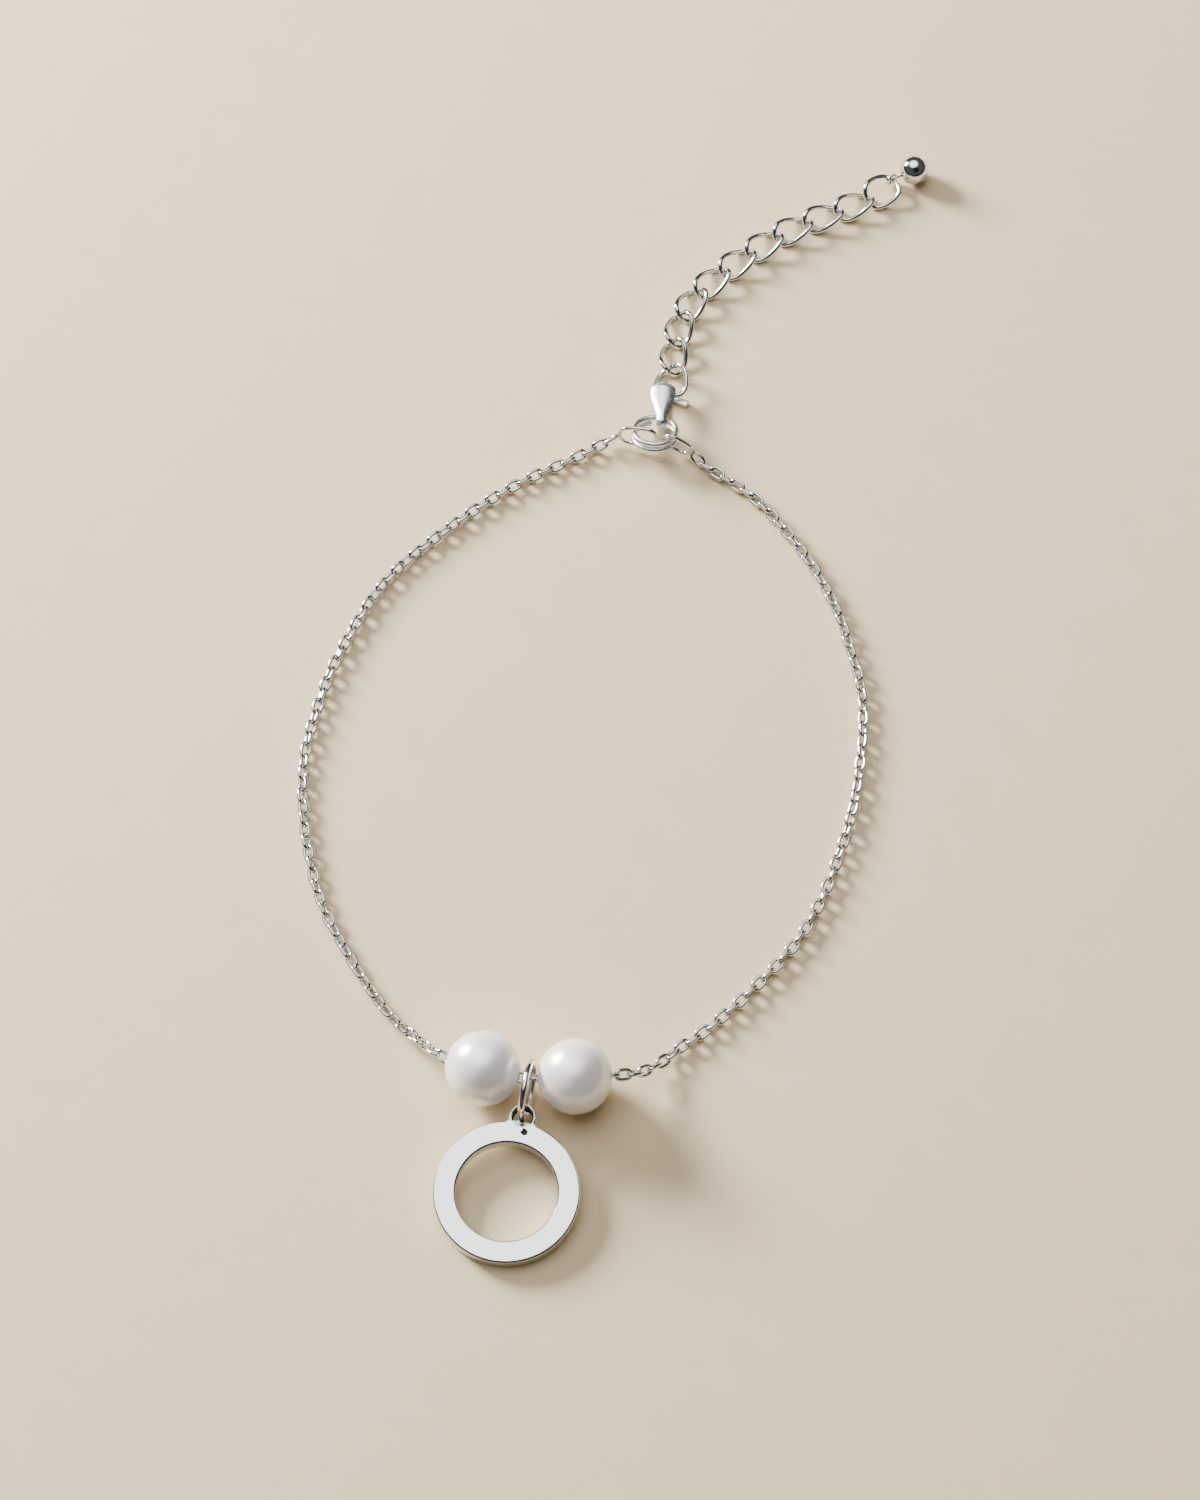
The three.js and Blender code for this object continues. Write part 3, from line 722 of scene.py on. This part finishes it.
EXTENDER_START = (4.35, 30.22)
EXTENDER_HEADINGS = (86, 84, 76, 58, 44, 39, 36, 28, 23, 26, 33)
EXTENDER_PITCHES = (2.68, 3.12, 3.12, 3.12, 3.27, 3.27, 3.27, 3.27, 3.27, 3.27, 2.8)
HOOK = 0.3
TWIST = 45.0
LINK_HEIGHT = 0.72
FIRST_LINK = {"half_width": 1.53, "start": 8.0, "end": -TWIST, "slope": -4.0, "height": 1.06}
LAST_LINK = {"half_width": 1.4, "start": TWIST, "end": -8.0, "slope": 0.0, "height": 0.92}


def extender_rows(half_width):
    """For each extender link, from the clasp to the ball: its middle, heading and oval."""
    headings = np.array(EXTENDER_HEADINGS, float)
    pitches = np.array(EXTENDER_PITCHES)
    way = np.stack([np.cos(np.radians(headings)), np.sin(np.radians(headings))], axis=-1)
    before = np.vstack([[0, 0], np.cumsum(way * pitches[:, None], axis=0)[:-1]])
    middles = np.array(EXTENDER_START) + before + way * pitches[:, None] / 2
    plain = {"half_width": half_width, "start": TWIST, "end": -TWIST, "slope": 0.0, "height": LINK_HEIGHT}
    shapes = [FIRST_LINK] + [plain] * (len(headings) - 2) + [LAST_LINK]
    return [{**shape, "middle": middle, "heading": heading, "half_length": pitch / 2 + HOOK}
            for shape, middle, heading, pitch in zip(shapes, middles, headings, pitches)]


def to_link_place(points, row):
    """Turns points from a link's own plan to where the link lies."""
    points = turned(turned(points, "Y", -row["slope"]), "Z", row["heading"])
    return points + (*row["middle"], row["height"])


class BRACELET_OT_extender(bpy.types.Operator):
    """Eleven twisted oval links of round wire, hooked into each other"""
    bl_idname = "bracelet.extender"
    bl_label = "Extender links"

    def execute(self, context):
        sizes = context.scene.bracelet_sizes
        for number, row in enumerate(extender_rows(sizes.extender_width / MM), 1):
            path = oval(row["half_length"], row["half_width"], OVAL_FULLNESS, row["start"], row["end"], 96)
            points, quads = tube(path, sizes.extender_wire / MM / 2, 18, True)
            node = f"extender_link_{number:02d}"
            piece(node + "_wire", (to_link_place(points, row), quads), finish_of("wire silver"), node)
        return {"FINISHED"}


BALL = {"heading": 18.0, "distance": 2.35, "eye_at": 20.0, "eye_heading": 38.0, "eye_radius": 0.56,
        "eye_wire": 0.28}


class BRACELET_OT_end_ball(bpy.types.Operator):
    """Polished ball with a short flared neck and a wire eye, which goes round the last link's wire"""
    bl_idname = "bracelet.end_ball"
    bl_label = "End ball"

    def execute(self, context):
        sizes = context.scene.bracelet_sizes
        radius = sizes.ball_radius / MM
        row = extender_rows(sizes.extender_width / MM)[-1]
        turn = math.radians(BALL["eye_at"])
        across = row["half_width"] * math.sin(turn) * (1 + OVAL_FULLNESS * math.cos(turn) ** 2)
        twist = math.radians(row["start"] + (row["end"] - row["start"]) * (math.cos(turn) + 1) / 2)
        held = np.array([[row["half_length"] * math.cos(turn), across * math.cos(twist), across * math.sin(twist)]])
        eye_place = to_link_place(held, row)[0]
        rise = radius - eye_place[2]
        centre = np.array([math.sqrt(BALL["distance"] ** 2 - rise ** 2), 0, rise])

        circle = angles(48)
        path = np.stack([BALL["eye_radius"] * np.cos(circle), 0 * circle, BALL["eye_radius"] * np.sin(circle)], -1)
        eye_points, eye_quads = tube(path, BALL["eye_wire"] / 2, 14, True, (0, 1, 0))
        eye_points = turned(eye_points, "Z", BALL["eye_heading"] - BALL["heading"])
        arc = angles(48, 0, 180, True)
        ball_points, ball_quads = revolved(np.stack([radius * np.sin(arc), radius * np.cos(arc)], -1), 64)
        ball_points = ball_points + centre
        # the neck flares where it meets the eye and the ball
        part = np.linspace(0, 1, 16)
        start, reach = BALL["eye_radius"] * 0.95, BALL["distance"] - radius + 0.12
        width = 0.17 + 0.14 * (2 * part - 1) ** 4
        neck = np.stack([np.concatenate([[0], width, [0]]),
                         np.concatenate([[start], start + (reach - start) * part, [reach]])], -1)
        neck_points, neck_quads = revolved(neck, 20)
        lift = math.degrees(math.asin(rise / BALL["distance"]))
        neck_points = turned(neck_points, "Y", 90 - lift)
        points, quads = joined((eye_points, eye_quads), (ball_points, ball_quads), (neck_points, neck_quads))
        points = turned(points, "Z", BALL["heading"]) + eye_place
        piece("end_ball_solid", (points, quads), finish_of("wire silver"), "end_ball")
        return {"FINISHED"}


# ---------------------------------------------------------------- stage

TARGET = np.array([-2.2, -6.6, 0.0]) * MM
# the large light stands low at the back left: degrees from +X, degrees over the floor, and metres
KEY_AZIMUTH, KEY_ELEVATION, KEY_DISTANCE = 142, 22, 0.55


def aimed(made, place, target):
    """Puts a light or camera at a place, looking at the target with its own up towards +Z."""
    made.location = place
    made.rotation_euler = Vector(np.asarray(target) - np.asarray(place)).to_track_quat("-Z", "Y").to_euler()


def area_light(name, azimuth, elevation, distance, width, power):
    """A square area light seen from the target at an azimuth from +X and an elevation, in degrees."""
    light = bpy.data.lights.new(name, "AREA")
    light.shape = "SQUARE"
    light.size = width
    light.energy = power
    made = bpy.data.objects.new(name, light)
    bpy.context.collection.objects.link(made)
    flat = math.cos(math.radians(elevation))
    way = np.array([flat * math.cos(math.radians(azimuth)), flat * math.sin(math.radians(azimuth)),
                    math.sin(math.radians(elevation))])
    aimed(made, TARGET + way * distance, TARGET)


class BRACELET_OT_stage(bpy.types.Operator):
    """Plain pale floor, a large low light from the back left, a soft room and the camera"""
    bl_idname = "bracelet.stage"
    bl_label = "Stage"

    def execute(self, context):
        stage = context.scene.bracelet_stage
        # matt painted board: a plain warm off-white, with a faint mottle of a few millimetres
        material, tree, shader, place = new_material("matt painted board, warm white")
        mottle = add_node(tree, "ShaderNodeTexNoise", {"Scale": 0.25 / MM, "Detail": 4.0}, {"Vector": place})
        shade = add_node(tree, "ShaderNodeMix", {"data_type": "RGBA"})
        shade.inputs[6].default_value = stage.floor_colour
        shade.inputs[7].default_value = [value * 0.94 for value in stage.floor_colour[:3]] + [1]
        tree.links.new(mottle.outputs["Fac"], shade.inputs["Factor"])
        tree.links.new(shade.outputs[2], shader.inputs["Base Color"])
        shader.inputs["Roughness"].default_value = 0.9
        shader.inputs["Specular IOR Level"].default_value = 0.2
        mesh = bpy.data.meshes.new("floor")
        half, level = 1.5, CAD_BOX[0][2]
        mesh.from_pydata([(-half, -half, level), (half, -half, level), (half, half, level), (-half, half, level)],
                         [], [(0, 1, 2, 3)])
        mesh.materials.append(material)
        floor = bpy.data.objects.new("floor", mesh)
        context.collection.objects.link(floor)

        area_light("key_light", KEY_AZIMUTH, KEY_ELEVATION, KEY_DISTANCE, stage.key_size, stage.key_power)

        # a soft room: a wide bright patch high up at the back left, dim walls that darken towards the
        # horizon, and a dark screen on the near side
        world = bpy.data.worlds.new("studio")
        world.use_nodes = True
        tree = world.node_tree
        tree.nodes.clear()
        way = add_node(tree, "ShaderNodeTexCoord").outputs["Generated"]

        def towards(direction, low, high, value_low, value_high):
            """A value that eases from one to the other as the view nears the direction."""
            facing = add_node(tree, "ShaderNodeVectorMath", {"operation": "DOT_PRODUCT"})
            tree.links.new(way, facing.inputs[0])
            facing.inputs[1].default_value = unit(np.array(direction)).tolist()
            eased = add_node(tree, "ShaderNodeMapRange",
                             {"interpolation_type": "SMOOTHSTEP", "From Min": low, "From Max": high,
                              "To Min": value_low, "To Max": value_high}, {"Value": facing.outputs["Value"]})
            return eased.outputs["Result"]

        def times(first, second):
            product = add_node(tree, "ShaderNodeMath", {"operation": "MULTIPLY"})
            tree.links.new(first, product.inputs[0])
            tree.links.new(second, product.inputs[1])
            return product.outputs["Value"]

        patch = towards((-0.12, 0.26, 0.96), 0.8, 0.95, 0.1, 3.2)
        horizon = towards((0, 0, 1), 0.05, 0.4, 0.08, 1.0)
        screen = towards((0.2, -0.55, 0.81), 0.87, 0.97, 1.0, 0.15)
        brightness = times(times(patch, horizon), screen)
        background = add_node(tree, "ShaderNodeBackground", None, {"Strength": brightness})
        add_node(tree, "ShaderNodeOutputWorld", None, {"Surface": background.outputs["Background"]})
        background.inputs["Color"].default_value = (1, 1, 1, 1)
        context.scene.world = world

        camera = bpy.data.cameras.new("camera")
        camera.sensor_fit = "VERTICAL"
        camera.sensor_height = 36.0
        camera.lens = stage.camera_lens
        camera.clip_start = 0.01
        made = bpy.data.objects.new("camera", camera)
        context.collection.objects.link(made)
        flat = math.cos(stage.camera_elevation)
        way = np.array([0, -flat, math.sin(stage.camera_elevation)])
        aimed(made, TARGET + way * stage.camera_distance, TARGET)
        context.scene.camera = made
        return {"FINISHED"}


# ---------------------------------------------------------------- panel, registration and run

OPERATORS = (BRACELET_OT_stage, BRACELET_OT_chain, BRACELET_OT_pearls, BRACELET_OT_pendant, BRACELET_OT_jump_ring,
             BRACELET_OT_split_ring, BRACELET_OT_end_links, BRACELET_OT_clasp, BRACELET_OT_extender,
             BRACELET_OT_end_ball)


class BRACELET_PT_panel(bpy.types.Panel):
    """Sidebar panel with the sizes and the pieces."""
    bl_idname = "BRACELET_PT_panel"
    bl_label = "Pearl bracelet"
    bl_space_type = "VIEW_3D"
    bl_region_type = "UI"
    bl_category = "Bracelet"

    def draw(self, context):
        scene = context.scene
        for group in (scene.bracelet_sizes, scene.bracelet_colours, scene.bracelet_stage):
            box = self.layout.box()
            for name in group.__annotations__:
                box.prop(group, name)
        for operator in OPERATORS:
            self.layout.operator(operator.bl_idname)


CLASSES = (BraceletSizes, BraceletColours, BraceletStage, *OPERATORS, BRACELET_PT_panel)


def register():
    for item in CLASSES:
        bpy.utils.register_class(item)
    bpy.types.Scene.bracelet_sizes = PointerProperty(type=BraceletSizes)
    bpy.types.Scene.bracelet_colours = PointerProperty(type=BraceletColours)
    bpy.types.Scene.bracelet_stage = PointerProperty(type=BraceletStage)


def unregister():
    del bpy.types.Scene.bracelet_stage
    del bpy.types.Scene.bracelet_colours
    del bpy.types.Scene.bracelet_sizes
    for item in reversed(CLASSES):
        bpy.utils.unregister_class(item)


def main():
    register()
    for operator in OPERATORS:
        getattr(bpy.ops.bracelet, operator.bl_idname.split(".")[1])()


if __name__ == "__main__":
    main()
